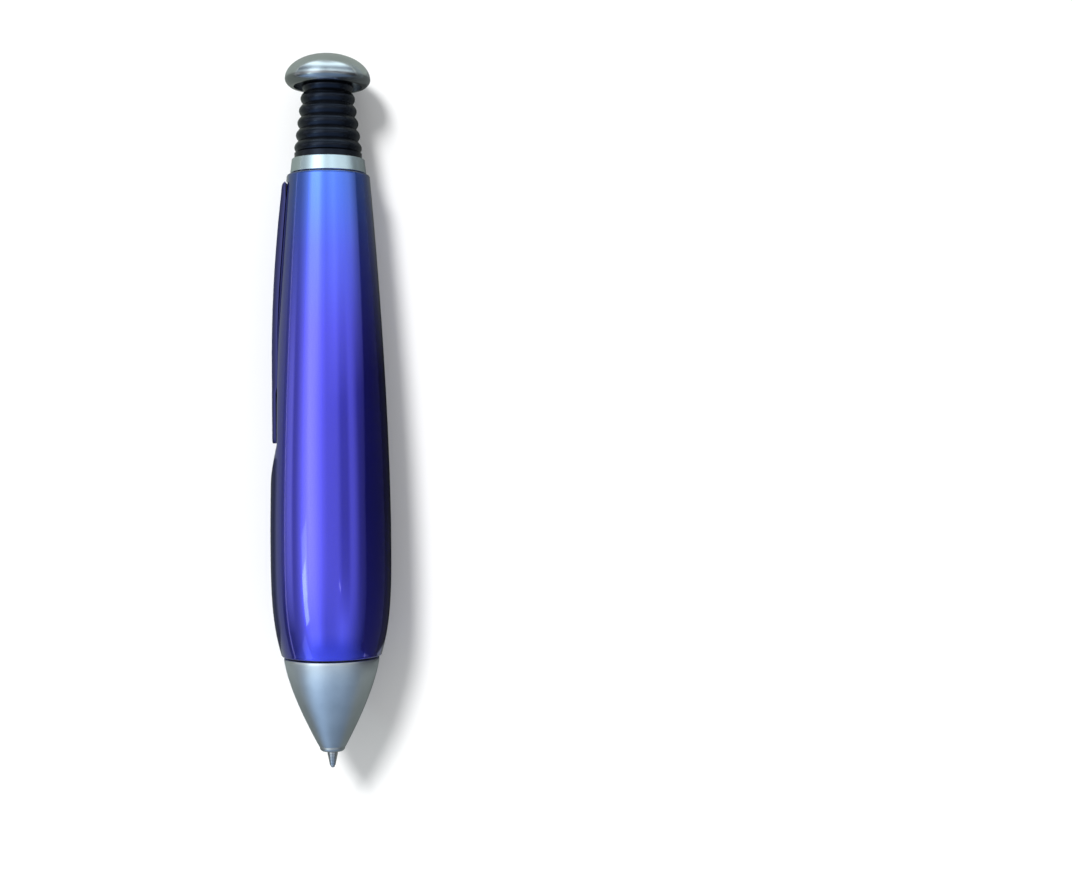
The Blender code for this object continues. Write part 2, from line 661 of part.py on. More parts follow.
def build_click_works(shop):
    groove_angle = math.pi / GUIDE_RIB_COUNT
    rotor = [
        (0.0, ROTOR_REAR),
        (CAM_CORE_RADIUS, ROTOR_REAR),
        (CAM_CORE_RADIUS, ROTOR_FRONT),
        (0.0, ROTOR_FRONT),
    ]
    rotor_part = shop.turned("rotor_cam", "white_plastic", ROTOR_FRONT, rotor, closed=False)
    add_splines(shop, rotor_part, ROTOR_FRONT, ROTOR_FRONT + SPLINE_LENGTH / 2, SPLINE_LENGTH, ROTOR_REST_ANGLE)
    cut_notches(shop, rotor_part, ROTOR_FRONT, ROTOR_REAR)

    socket_floor = PLUNGER_REAR - PLUNGER_SOCKET_DEPTH
    plunger = [
        (0.0, socket_floor),
        (ROD_BORE_RADIUS, socket_floor),
        (ROD_BORE_RADIUS, PLUNGER_REAR),
        (CAM_CORE_RADIUS, PLUNGER_REAR),
        (CAM_CORE_RADIUS, PLUNGER_FRONT),
        (0.0, PLUNGER_FRONT),
    ]
    plunger_part = shop.turned("plunger_cam", "white_plastic", PLUNGER_FRONT, plunger, closed=False)
    key_centre = PLUNGER_REAR - SPLINE_LENGTH / 2
    add_splines(shop, plunger_part, PLUNGER_FRONT, key_centre, SPLINE_LENGTH, groove_angle)
    cut_notches(shop, plunger_part, PLUNGER_FRONT, PLUNGER_FRONT)

    rod = [(0.0, ROD_REAR), (ROD_RADIUS, ROD_REAR), (ROD_RADIUS, ROD_FRONT), (0.0, ROD_FRONT)]
    shop.turned("push_rod", "steel", ROD_FRONT, rod, closed=False)

    housing = [
        (HOUSING_FLANGE_RADIUS, HOUSING_REAR),
        (HOUSING_FLANGE_RADIUS, COLLAR_FRONT),
        (HOUSING_RADIUS, COLLAR_FRONT),
        (HOUSING_RADIUS, HOUSING_FRONT),
        (HOUSING_BORE_RADIUS, HOUSING_FRONT),
        (HOUSING_BORE_RADIUS, HOUSING_REAR),
    ]
    housing_part = shop.turned("cam_housing", "white_plastic", HOUSING_FRONT, housing)
    rib_outer = (HOUSING_BORE_RADIUS + HOUSING_RADIUS) / 2
    rib_size = (rib_outer - GUIDE_RIB_RADIUS, GUIDE_RIB_LENGTH, GUIDE_RIB_THICKNESS)
    rib_along = GUIDE_RIB_FRONT + GUIDE_RIB_LENGTH / 2 - HOUSING_FRONT
    rib_centre = ((rib_outer + GUIDE_RIB_RADIUS) / 2, rib_along, 0.0)
    for i in range(GUIDE_RIB_COUNT):
        turn = Matrix.Rotation(2 * math.pi * i / GUIDE_RIB_COUNT, 4, "Y")
        name = "guide_rib_%d" % (i + 1)
        rib = shop.tool(name, box_mesh(name, rib_size, rib_centre, turn), HOUSING_FRONT)
        combine(housing_part, rib, "UNION")

    rod_guide = [
        (GUIDE_FLANGE_RADIUS, BELLOWS_FRONT + GUIDE_FLANGE_HEIGHT),
        (GUIDE_FLANGE_RADIUS, BELLOWS_FRONT),
        (SPLINE_RADIUS, BELLOWS_FRONT),
        (SPLINE_RADIUS, ROD_GUIDE_FRONT),
        (ROD_BORE_RADIUS, ROD_GUIDE_FRONT),
        (ROD_BORE_RADIUS, BELLOWS_FRONT + GUIDE_FLANGE_HEIGHT),
    ]
    shop.turned("rod_guide_bush", "grey_plastic", BELLOWS_FRONT, rod_guide)

    flange_rear = HOUSING_FRONT - FIT
    refill_guide = [
        (SPLINE_RADIUS, REFILL_GUIDE_REAR),
        (SPLINE_RADIUS, flange_rear),
        (HOUSING_RADIUS, flange_rear),
        (HOUSING_RADIUS, flange_rear - REFILL_GUIDE_FLANGE_HEIGHT),
        (REFILL_GUIDE_BORE, flange_rear - REFILL_GUIDE_FLANGE_HEIGHT),
        (REFILL_GUIDE_BORE, REFILL_GUIDE_REAR),
    ]
    shop.turned("refill_guide_bush", "grey_plastic", flange_rear, refill_guide)


def rib_radius(station):
    """Round ribs that meet in sharp valleys and grow smaller towards the button."""
    last_rib = FIRST_RIB + (RIB_COUNT - 1) * RIB_PITCH
    share = (station - FIRST_RIB) / (last_rib - FIRST_RIB)
    peak = FIRST_RIB_RADIUS + (LAST_RIB_RADIUS - FIRST_RIB_RADIUS) * share
    return peak - RIB_DEPTH * (1 - abs(math.cos(math.pi * (station - FIRST_RIB) / RIB_PITCH)))


def build_collar_and_bellows(shop):
    collar = [
        (COLLAR_BORE_RADIUS, COLLAR_REAR),
        (COLLAR_REAR_RADIUS - COLLAR_EDGE, COLLAR_REAR),
        (COLLAR_REAR_RADIUS, COLLAR_REAR - COLLAR_EDGE),
        (COLLAR_FRONT_RADIUS, COLLAR_FRONT + COLLAR_EDGE),
        (COLLAR_FRONT_RADIUS - COLLAR_EDGE, COLLAR_FRONT),
        (COLLAR_BORE_RADIUS, COLLAR_FRONT),
    ]
    shop.turned("collar_ring", "bright_silver", COLLAR_FRONT, collar, steps=BODY_STEPS)

    ribs_front = FIRST_RIB - RIB_PITCH / 2
    samples = between(BELLOWS_REAR, ribs_front, RIB_COUNT * RIB_SAMPLES + 1)
    bellows = [(rib_radius(s), s) for s in samples]
    bellows += [
        (HOUSING_FLANGE_RADIUS, ribs_front),
        (HOUSING_FLANGE_RADIUS, BELLOWS_FRONT),
        (BELLOWS_BASE_BORE, BELLOWS_FRONT),
        (BELLOWS_TOP_BORE, BELLOWS_REAR),
    ]
    shop.turned("bellows", "black_rubber", BELLOWS_FRONT, bellows, steps=INNER_STEPS)


def build_button(shop):
    dome_angles = between(0, math.pi / 2, 9)
    dome = [(CAP_RADIUS * math.sin(a), CAP_RIM + CAP_DOME_HEIGHT * math.cos(a)) for a in dome_angles]
    mouth_angle = math.acos(CAP_MOUTH_RADIUS / CAP_RADIUS)
    lip_angles = between(0, mouth_angle, 5)[1:]
    lip = [(CAP_RADIUS * math.cos(a), CAP_RIM - CAP_LIP_HEIGHT * math.sin(a)) for a in lip_angles]
    lip_station = lip[-1][1]
    core_pocket_rear = CORE_REAR + FIT
    inside = [
        (CAP_POCKET_RADIUS, lip_station),
        (CAP_POCKET_RADIUS, CAP_CEILING),
        (CORE_RADIUS + FIT, CAP_CEILING),
        (CORE_RADIUS + FIT, core_pocket_rear),
        (0.0, core_pocket_rear),
    ]
    shop.turned("button_cap", "bright_silver", CAP_RIM, dome + lip + inside, closed=False, steps=BODY_STEPS)

    core = [
        (0.0, CORE_REAR),
        (CORE_RADIUS, CORE_REAR),
        (CORE_RADIUS, CORE_FRONT),
        (ROD_BORE_RADIUS, CORE_FRONT),
        (ROD_BORE_RADIUS, CORE_SOCKET_REAR),
        (0.0, CORE_SOCKET_REAR),
    ]
    shop.turned("button_core", "white_plastic", CORE_FRONT, core, closed=False)


def main():
    clear_scene()
    shop = Workshop()
    build_barrel(shop)
    build_clip(shop)
    build_nose(shop)
    build_refill(shop)
    build_spring(shop)
    build_click_works(shop)
    build_collar_and_bellows(shop)
    build_button(shop)
    print("length %.2f mm, widest %.2f mm" % (TOTAL_LENGTH * 1000, 2 * BELLY_RADIUS * 1000))


main()
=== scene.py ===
# %% [markdown]
# # A fat click pen, dressed for its picture
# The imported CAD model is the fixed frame: its bodies already move as the pen does. This lesson puts smooth,
# finely turned skins over the faceted solids, gives every piece a finish, and sets up a small studio.
# Places along the pen are stations: millimetres from the writing point, measured on the pen's axis.

# %% Load the frame
import math

import bmesh
import bpy
from mathutils import Matrix, Vector


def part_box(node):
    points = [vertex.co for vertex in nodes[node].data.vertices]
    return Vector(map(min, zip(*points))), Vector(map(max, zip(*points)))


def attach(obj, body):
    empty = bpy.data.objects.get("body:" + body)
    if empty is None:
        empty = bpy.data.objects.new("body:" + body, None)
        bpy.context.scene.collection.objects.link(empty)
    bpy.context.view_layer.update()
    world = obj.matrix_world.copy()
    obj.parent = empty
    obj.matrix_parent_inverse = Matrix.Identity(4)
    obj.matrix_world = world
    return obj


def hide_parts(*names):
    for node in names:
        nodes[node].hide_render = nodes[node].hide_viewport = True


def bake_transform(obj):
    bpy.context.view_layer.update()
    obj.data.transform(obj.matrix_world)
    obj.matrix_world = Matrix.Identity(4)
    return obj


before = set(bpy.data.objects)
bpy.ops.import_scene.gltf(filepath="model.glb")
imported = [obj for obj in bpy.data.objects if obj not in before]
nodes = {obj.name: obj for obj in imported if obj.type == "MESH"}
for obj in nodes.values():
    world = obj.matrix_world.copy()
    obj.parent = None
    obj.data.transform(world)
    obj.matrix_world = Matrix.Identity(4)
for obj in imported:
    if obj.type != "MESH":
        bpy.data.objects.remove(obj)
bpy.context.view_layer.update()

# %% [markdown]
# The pen's axis runs along Y. Two numbers tie stations to the frame: where the writing point is and how high
# the axis lies. Both are read off the boxes of CAD nodes instead of being typed in again.

# %% Axis and stations
TIP_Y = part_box("refill_ball")[0].y
AXIS_Z = (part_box("barrel")[0].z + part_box("barrel")[1].z) / 2


def along(station):
    """The frame's y, in metres, of a station in millimetres."""
    return TIP_Y + station / 1000


def station_of(y):
    return (y - TIP_Y) * 1000


def spread(first, last, count):
    """Evenly spaced values from first to last."""
    return [first + (last - first) * i / (count - 1) for i in range(count)]


print("axis height %.2f mm, tip at y %.2f mm" % (AXIS_Z * 1000, TIP_Y * 1000))

# %% [markdown]
# ## Finishes
# Colours are written as sRGB hex values, the way a colour picker shows them, and turned to linear light once.
# Small helpers add a node, set its inputs and make its links, so that each finish reads as a short list.

# %% Helpers for finishes
COLOUR_A, COLOUR_B, COLOUR_OUT = 6, 7, 2    # the sockets of a Mix node that mixes colours
FINE_GRAIN = 0.00005                        # height of a fine surface grain, in metres


def linear(code):
    """An sRGB hex colour as linear RGBA."""
    parts = [int(code[i:i + 2], 16) / 255 for i in (1, 3, 5)]
    return [c / 12.92 if c <= 0.04045 else ((c + 0.055) / 1.055) ** 2.4 for c in parts] + [1.0]


def grey(level):
    """A linear grey as RGBA."""
    return [level, level, level, 1.0]


def fill(tree, node, inputs):
    """Sets a node's inputs from (socket, value or output socket to link) pairs."""
    for socket, value in inputs:
        if isinstance(value, bpy.types.NodeSocket):
            tree.links.new(value, node.inputs[socket])
        else:
            node.inputs[socket].default_value = value


def add(tree, kind, inputs=(), **settings):
    """A node of a kind with its settings and inputs."""
    node = tree.nodes.new(kind)
    for name, value in settings.items():
        setattr(node, name, value)
    fill(tree, node, inputs)
    return node


def finish_named(name):
    """An empty material with its node tree, Principled shader and object coordinates."""
    material = bpy.data.materials.new(name)
    material.use_nodes = True
    tree = material.node_tree
    shader = tree.nodes["Principled BSDF"]
    where = add(tree, "ShaderNodeTexCoord").outputs["Object"]
    return material, tree, shader, where


def noise(tree, where, scale, detail):
    """A noise from 0 to 1, with its scale in waves per metre."""
    node = add(tree, "ShaderNodeTexNoise", [("Vector", where), ("Scale", scale), ("Detail", detail)])
    return node.outputs["Fac"]


def share_between(tree, value, first, last):
    """0 to 1 as a value goes from first to last."""
    node = add(tree, "ShaderNodeMapRange", [("Value", value), ("From Min", first), ("From Max", last)])
    return node.outputs["Result"]


def spanned(tree, share, least, most):
    """A share from 0 to 1 as a value from least to most."""
    node = add(tree, "ShaderNodeMapRange", [("Value", share), ("To Min", least), ("To Max", most)])
    return node.outputs["Result"]


def ramp(tree, share, stops):
    """The colour at a share on a Color Ramp of (place, colour) stops."""
    node = add(tree, "ShaderNodeValToRGB", [("Fac", share)])
    band = node.color_ramp
    band.elements.remove(band.elements[-1])
    band.elements[0].position, band.elements[0].color = stops[0]
    for place, colour in stops[1:]:
        band.elements.new(place).color = colour
    return node.outputs["Color"]


def ramp_along(tree, where, axis, stops):
    """A Color Ramp along an axis, of (coordinate in metres, colour) stops."""
    place = add(tree, "ShaderNodeSeparateXYZ", [("Vector", where)]).outputs[axis]
    first, last = stops[0][0], stops[-1][0]
    shares = [((at - first) / (last - first), colour) for at, colour in stops]
    return ramp(tree, share_between(tree, place, first, last), shares)


def mixed(tree, first, second, factor=1.0, kind="MULTIPLY"):
    """Two colours multiplied, or mixed in another way."""
    node = add(tree, "ShaderNodeMix", [("Factor", factor), (COLOUR_A, first), (COLOUR_B, second)],
               data_type="RGBA", blend_type=kind)
    return node.outputs[COLOUR_OUT]


def bumped(tree, height, strength, distance):
    """The normal of a surface with a height on it."""
    node = add(tree, "ShaderNodeBump", [("Height", height), ("Strength", strength), ("Distance", distance)])
    return node.outputs["Normal"]


print("helpers ready")

# %% [markdown]
# The barrel and clip are moulded ABS with a candy lacquer: a bright metallic base under tinted violet-blue and
# a clear coat. That gives the eye a coloured mirror below and a colourless, sharper one above. A metal shader
# with a coat is the same stack. At a slant the light crosses more of the tint, so the colour dims there. Real
# flakes are some 0.02 mm wide, too fine to show, so they are drawn 0.2 mm wide and faint. Towards the button
# the tint is painted bluer, a painted cyan reflection. A slow waviness keeps the reflections from being ruler
# straight.
# The clip's flanks and inner face got no lacquer, and a mesh attribute says where its plastic shows. That
# plastic is painted dark at the clip's rims as shade, and lighter inwards, painted light against the gap's
# shade.

# %% Candy lacquer
# The lacquer's tint along the pen; the bluer stops towards the button are a painted cyan reflection.
LACQUER_TINT_AND_PAINTED_SHEEN = [(98.0, "#3431E6"), (115.5, "#2E44E4"), (125.3, "#2A5CE4"), (133.0, "#2E68E2")]  # (station, colour)
# (how far the surface turns away from the eye, brightness of the tint)
FLOP = [(0.07, 1.0), (0.15, 0.84), (0.22, 0.76), (0.36, 0.66), (0.46, 0.55), (0.56, 0.46), (0.7, 0.38),
        (1.0, 0.3)]
LACQUERED_BELOW = 0.2   # share of bare plastic from which no lacquer shows


def candy_lacquer(name, bare_painted_shade=None):
    """Candy lacquer. Where the named attribute is above 0, unlacquered plastic with painted shade shows."""
    material, tree, shader, where = finish_named(name)
    # The lacquer's tint along the pen, painted bluer towards the button as a cyan reflection.
    tint = ramp_along(tree, where, "Y", [(along(s), linear(code)) for s, code in LACQUER_TINT_AND_PAINTED_SHEEN])
    flakes = share_between(tree, noise(tree, where, 5000.0, 1.0), 0.3, 0.7)
    glitter = spanned(tree, flakes, 0.95, 1.05)
    flaked = add(tree, "ShaderNodeHueSaturation", [("Color", tint), ("Value", glitter)])
    facing = add(tree, "ShaderNodeLayerWeight", [("Blend", 0.5)]).outputs["Facing"]
    flop = ramp(tree, facing, [(turn, grey(level)) for turn, level in FLOP])
    fill(tree, shader, [
        ("Base Color", mixed(tree, flaked.outputs["Color"], flop)),
        ("Metallic", 0.95),
        ("Roughness", spanned(tree, noise(tree, where, 160.0, 3.0), 0.13, 0.19)),
        ("Coat Weight", 1.0),
        ("Coat IOR", 1.8),
        ("Coat Roughness", 0.05),
        ("Normal", bumped(tree, noise(tree, where, 90.0, 1.0), 0.04, 0.0004)),
    ])
    if bare_painted_shade:
        reach = add(tree, "ShaderNodeAttribute", attribute_name=bare_painted_shade).outputs["Fac"]
        # Painted shade at the clip's rims, and painted light on its inner face against the shade of the gap.
        violet = ramp(tree, reach, [(0.45, linear("#1C1D42")), (1.0, linear("#40427A"))])
        plastic = add(tree, "ShaderNodeBsdfPrincipled", [("Base Color", violet), ("Roughness", 0.45),
                                                         ("Specular IOR Level", 0.3)])
        both = add(tree, "ShaderNodeMixShader", [("Fac", share_between(tree, reach, 0.0, LACQUERED_BELOW)),
                                                 (1, shader.outputs[0]), (2, plastic.outputs[0])])
        tree.links.new(both.outputs[0], tree.nodes["Material Output"].inputs["Surface"])
    return material


lacquer = candy_lacquer("violet_candy_lacquer_on_abs")
clip_lacquer = candy_lacquer("violet_candy_lacquer_on_clip", bare_painted_shade="bare_painted_shade")
print("made", lacquer.name, clip_lacquer.name)

# %% [markdown]
# The nose is satin silver: an aluminium-coloured coating with a fine grit that blurs reflections. The button
# and the collar have the same metal with a brighter, smoother plating. Grit of 0.05 mm is drawn at 0.25 mm.
# The nose's coating is painted darker towards the point and brighter near the seam, a painted shade and a
# painted highlight, and the plating is painted dark under the button's lip as shade, so every silver takes a
# brightness along the pen.

# %% Silver finishes
def silver(name, dark, light, roughest, smoothest, grit, shades):
    """Silver. Shades are (station, brightness) stops along the pen, which paint shade and highlights on it."""
    material, tree, shader, where = finish_named(name)
    shade = ramp_along(tree, where, "Y", [(along(s), grey(level)) for s, level in shades])
    cloud = noise(tree, where, 220.0, 3.0)
    colour = ramp(tree, cloud, [(0.35, linear(dark)), (0.65, linear(light))])
    fill(tree, shader, [
        ("Base Color", mixed(tree, colour, shade)),
        ("Metallic", 1.0),
        ("Roughness", spanned(tree, cloud, smoothest, roughest)),
        ("Normal", bumped(tree, noise(tree, where, 4000.0, 2.0), grit, FINE_GRAIN)),
    ])
    return material


# The nose: painted shade towards the point and a painted highlight near the seam.
satin = silver("satin_silver_coating", "#D4DADD", "#DEE4E7", 0.42, 0.34, 0.25,
               [(4, 0.52), (10, 0.56), (15, 0.62), (19, 0.72), (22, 0.85), (25, 0.88)])
plating = silver("bright_silver_plating", "#D2E0E6", "#DAE6EB", 0.28, 0.24, 0.04, [(130, 1.0), (140, 1.0)])
# The button: painted shade under its lip, below station 155.
button_plating = silver("brushed_silver_plating", "#CCD2D6", "#D6DCE0", 0.23, 0.18, 0.12,
                        [(153.4, 0.4), (154.2, 0.45), (154.6, 0.9), (155.0, 1.0), (160, 1.0)])
print("made", satin.name, plating.name, button_plating.name)

# %% [markdown]
# The bellows is moulded black rubber: almost no colour of its own, a soft bluish sheen along the ribs, and a
# dull bloom of dust and wear that makes the sheen patchy.

# %% Black rubber
def black_rubber():
    material, tree, shader, where = finish_named("black_moulded_rubber")
    bloom = noise(tree, where, 500.0, 4.0)
    fill(tree, shader, [
        ("Base Color", ramp(tree, bloom, [(0.35, linear("#060709")), (0.75, linear("#0D0E12"))])),
        ("Roughness", spanned(tree, bloom, 0.17, 0.28)),
        ("Specular Tint", linear("#C4D8FF")),
        ("IOR", 1.4),
        ("Normal", bumped(tree, noise(tree, where, 2500.0, 2.0), 0.15, FINE_GRAIN)),
    ])
    return material


rubber = black_rubber()
print("made", rubber.name)

# %% [markdown]
# The works inside show only when the nose is unscrewed. Drawn steel and brass have fine turning lines round
# the axis, which a wave along Y gives, and moulded plastic has a faint matt grain.

# %% Finishes of the works
def drawn_metal(name, dark, light, roughness):
    material, tree, shader, where = finish_named(name)
    turning = add(tree, "ShaderNodeTexWave", [("Vector", where), ("Scale", 900.0), ("Distortion", 1.5)],
                  bands_direction="Y").outputs["Fac"]
    fill(tree, shader, [
        ("Base Color", ramp(tree, turning, [(0.2, linear(dark)), (0.8, linear(light))])),
        ("Metallic", 1.0),
        ("Roughness", roughness),
    ])
    return material


def moulded_plastic(name, dark, light, roughness):
    material, tree, shader, where = finish_named(name)
    grain = noise(tree, where, 1500.0, 3.0)
    fill(tree, shader, [
        ("Base Color", ramp(tree, grain, [(0.3, linear(dark)), (0.7, linear(light))])),
        ("Roughness", roughness),
        ("Normal", bumped(tree, grain, 0.1, FINE_GRAIN)),
    ])
    return material


steel = drawn_metal("drawn_steel", "#8E9092", "#B4B6B8", 0.24)
brass = drawn_metal("drawn_brass", "#B08A48", "#CFA95E", 0.28)
white_acetal = moulded_plastic("white_acetal", "#DAD9D4", "#E6E5E0", 0.45)
grey_abs = moulded_plastic("grey_abs", "#8B8C90", "#96979B", 0.5)
ink = moulded_plastic("blue_ink", "#1B2A90", "#2233A0", 0.15)

works = {
    steel: ["push_rod", "spring_seat", "refill_ball"],
    brass: ["refill_holder", "refill_tube"],
    white_acetal: ["button_core", "plunger_cam", "rotor_cam", "cam_housing", "refill_plug"],
    grey_abs: ["rod_guide_bush", "refill_guide_bush", "nose_thread_bush", "front_insert"],
    ink: ["ink_column"],
}
for material, names in works.items():
    for name in names:
        nodes[name].data.materials.clear()
        nodes[name].data.materials.append(material)
print("finished", sum(len(names) for names in works.values()), "CAD nodes")

# %% [markdown]
# ## Turned skins
# Most of the pen is turned: a side outline swept round the axis. The outline's few stretches come from
# formulas, and `spin` sweeps it. Points on the axis fall together, so doubles are merged before the faces are
# turned outwards.

# %% Turning helpers
MERGE = 1e-7    # points closer than this, in metres, become one


def turned(outline, steps, closed=True):
    """A bmesh spun from (radius, station) points in millimetres."""
    shape = bmesh.new()
    verts = [shape.verts.new((radius / 1000, along(station), AXIS_Z)) for radius, station in outline]
    pairs = list(zip(verts, verts[1:]))
    if closed:
        pairs.append((verts[-1], verts[0]))
    edges = [shape.edges.new(pair) for pair in pairs]
    bmesh.ops.spin(shape, geom=verts + edges, cent=(0, 0, AXIS_Z), axis=(0, 1, 0), dvec=(0, 0, 0),
                   angle=2 * math.pi, steps=steps, use_merge=True, use_duplicate=False)
    bmesh.ops.remove_doubles(shape, verts=shape.verts, dist=MERGE)
    bmesh.ops.recalc_face_normals(shape, faces=shape.faces)
    return shape


def piece(name, shape, material, sharp=35):
    """The finished object of a bmesh, shaded smooth below the sharp angle."""
    mesh = bpy.data.meshes.new(name)
    shape.to_mesh(mesh)
    shape.free()
    mesh.materials.append(material)
    mesh.shade_smooth()
    mesh.set_sharp_from_angle(angle=math.radians(sharp))
    made = bpy.data.objects.new(name, mesh)
    bpy.context.scene.collection.objects.link(made)
    mesh.calc_loop_triangles()
    print(name, len(mesh.loop_triangles), "triangles")
    return made


def rounding(radius, station, size, from_angle, to_angle, count=6):
    """Points of a rounded edge about a centre. Angles run from the radius direction towards the button."""
    turns = [math.radians(a) for a in spread(from_angle, to_angle, count)]
    return [(radius + size * math.cos(a), station + size * math.sin(a)) for a in turns]


# %% [markdown]
# The barrel swells from 11.1 mm at its mouth to a belly of 13.45 mm and thins to 9.2 mm at the collar. Both
# ends of the curve are powers of the distance from the belly. The recess for the clip is a run of flat floors
# cut into the left side. Cutting them with a boolean would leave ragged triangles in a dense skin, so the
# skin's points are pushed in to the floor instead, with a smooth minimum that rounds the recess's edge like
# lacquer does.

# %% Barrel
BARREL_FRONT, BELLY, BARREL_REAR = 25.3, 51.8, 132.8                # stations
BELLY_RADIUS, FRONT_DROP, REAR_DROP = 13.45, 2.35, 4.25
FRONT_POWER, REAR_POWER = 3.45, 1.65
FRONT_ROUND, REAR_ROUND = 0.35, 0.5                                 # roundings of the two edges
BORE, REAR_BORE, BORE_STEP = 9.2, 7.0, 98.0                         # radii, and the station of the step
# (station, distance from the axis)
RECESS_FLOORS = [(64.1, 13.45), (72.6, 11.1), (98.0, 11.0), (112.0, 10.4), (131.3, 8.7)]
NO_FLOOR = 20.0             # clear of the barrel
RECESS_FROM = 7.5           # points further than this to the left can lie in the recess
RECESS_ROUND = 0.3


def barrel_radius(station):
    if station < BELLY:
        return BELLY_RADIUS - FRONT_DROP * ((BELLY - station) / (BELLY - BARREL_FRONT)) ** FRONT_POWER
    return BELLY_RADIUS - REAR_DROP * ((station - BELLY) / (BARREL_REAR - BELLY)) ** REAR_POWER


def recess_floor(station):
    """How far the recess's floor lies from the axis, in millimetres."""
    for (s0, f0), (s1, f1) in zip(RECESS_FLOORS, RECESS_FLOORS[1:]):
        if s0 <= station <= s1:
            return f0 + (f1 - f0) * (station - s0) / (s1 - s0)
    return NO_FLOOR


def smooth_least(a, b, reach):
    """The lesser of two values, rounded where they meet."""
    share = max(0.0, min(1.0, 0.5 + (b - a) / (2 * reach)))
    return b + (a - b) * share - reach * share * (1 - share)


rear_middle, front_middle = BARREL_REAR - REAR_ROUND, BARREL_FRONT + FRONT_ROUND
rear_edge = rounding(barrel_radius(rear_middle) - REAR_ROUND, rear_middle, REAR_ROUND, 90, 0)
front_edge = rounding(barrel_radius(front_middle) - FRONT_ROUND, front_middle, FRONT_ROUND, 0, -90)
rows = spread(132.2, 131.4, 3) + spread(131.25, 74.0, 130) + spread(73.6, 26.0, 150)
body = [(barrel_radius(s), s) for s in rows]
bore = [(BORE, BARREL_FRONT), (BORE, BORE_STEP), (REAR_BORE, BORE_STEP), (REAR_BORE, BARREL_REAR)]
shape = turned(rear_edge + body + front_edge + bore, steps=224)
for vert in shape.verts:
    side = -vert.co.x * 1000
    if side > RECESS_FROM and math.hypot(vert.co.x, vert.co.z - AXIS_Z) > BORE / 1000:
        vert.co.x = -smooth_least(side, recess_floor(station_of(vert.co.y)), RECESS_ROUND) / 1000
barrel = piece("barrel_shell", shape, lacquer)
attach(barrel, "barrel")
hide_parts("barrel")

# %% [markdown]
# The clip is a tongue of the same plastic. Its outer face is crowned across and bows down to its root, where
# it goes into the barrel, and its inner face has a bead that bears on the recess. A grid is bent into the
# outer face, and extruded inwards to the inner face, so both have the same rows. Then the sharp rims are
# bevelled. The lacquer covers the outer face and stops short of its rims, where the plastic is painted dark as
# shade; on the inner face the plastic is painted lighter.

# %% Clip
CLIP_FRONT, CLIP_REAR, CLIP_FLAT_REAR = 72.9, 131.0, 89.9           # stations
CLIP_FACE, CLIP_BOW, BOW_POWER = 12.8, 2.7, 1.95                    # outer face's distance from the axis
FLOOR_GAP, SIDE_GAP = 0.15, 0.12                                    # to the recess and to the round barrel
HINGE, LIFT_SLOPE = 127.0, 0.09
BEAD_FRONT, BEAD_RAMP, CLIP_THICKNESS = CLIP_FRONT + 13.6, 2.2, 1.1
ROOT_FROM, ROOT_LENGTH = 128.8, 2.2                                 # the rounded end at the root
CROWN, CROWN_SHARE = 0.36, 0.3                                      # at most this share of the thickness
HALF_WIDTH, CORNER = 3.6, 1.2
ROW_CROWDING = 0.18                                                 # rows lie closer at both ends
# From this share of the half width the outer face's rim is unlacquered and painted dark, as shade.
PAINTED_DARK_RIM_FROM, RIM_BARE_PAINTED_DARK = 0.88, 0.2                                      # the rim's share of the half width
RIM_ANGLE, RIM_BEVEL = math.radians(50), 0.0001


def clip_face(station):
    share = max(0.0, station - CLIP_FLAT_REAR) / (CLIP_REAR - CLIP_FLAT_REAR)
    return CLIP_FACE - CLIP_BOW * share ** BOW_POWER


def root_lift(station):
    """Room behind the hinge, where the clip dips as its free end is pulled out."""
    return LIFT_SLOPE * max(0.0, station - HINGE)


def clip_inside(station):
    """The inner face: close to the recess from the bead to the root, free of it in front of the bead."""
    lowest = recess_floor(station) + FLOOR_GAP + root_lift(station)
    before_bead = min(1.0, max(0.0, BEAD_FRONT - station) / BEAD_RAMP)
    freed = 1 - math.cos(before_bead * math.pi / 2)
    return lowest + (clip_face(station) - CLIP_THICKNESS - lowest) * freed


def clip_rim(station, across):
    """The inner face off the middle: it follows the round barrel where the recess is narrower than the clip."""
    round_side = math.sqrt(barrel_radius(station) ** 2 - across ** 2) + SIDE_GAP + root_lift(station)
    return min(clip_inside(station), round_side)


def clip_outside(station, share):
    """The outer face at a share of the half width: crowned, and rounded at the root's end."""
    inner = clip_inside(min(station, CLIP_REAR))
    face = clip_face(min(station, ROOT_FROM))
    if station > ROOT_FROM:
        face = inner + (face - inner) * math.sqrt(max(0.0, 1 - ((station - ROOT_FROM) / ROOT_LENGTH) ** 2))
    return face - min(CROWN, CROWN_SHARE * (face - inner)) * share ** 2


def clip_half_width(station):
    """The half width, with rounded corners at the free end."""
    past = max(0.0, CORNER - (station - CLIP_FRONT))
    return HALF_WIDTH - CORNER + math.sqrt(max(0.0, CORNER ** 2 - past ** 2))


shape = bmesh.new()
bmesh.ops.create_grid(shape, x_segments=150, y_segments=32, size=0.5)
for vert in shape.verts:
    share = vert.co.x + 0.5
    eased = share - ROW_CROWDING * math.sin(2 * math.pi * share) / (2 * math.pi)
    station = CLIP_FRONT + (CLIP_REAR - CLIP_FRONT) * eased
    turn = vert.co.y * math.pi
    across = math.sin(turn) * clip_half_width(station)
    vert.co = (-clip_outside(station, math.sin(turn)) / 1000, along(station), AXIS_Z + across / 1000)
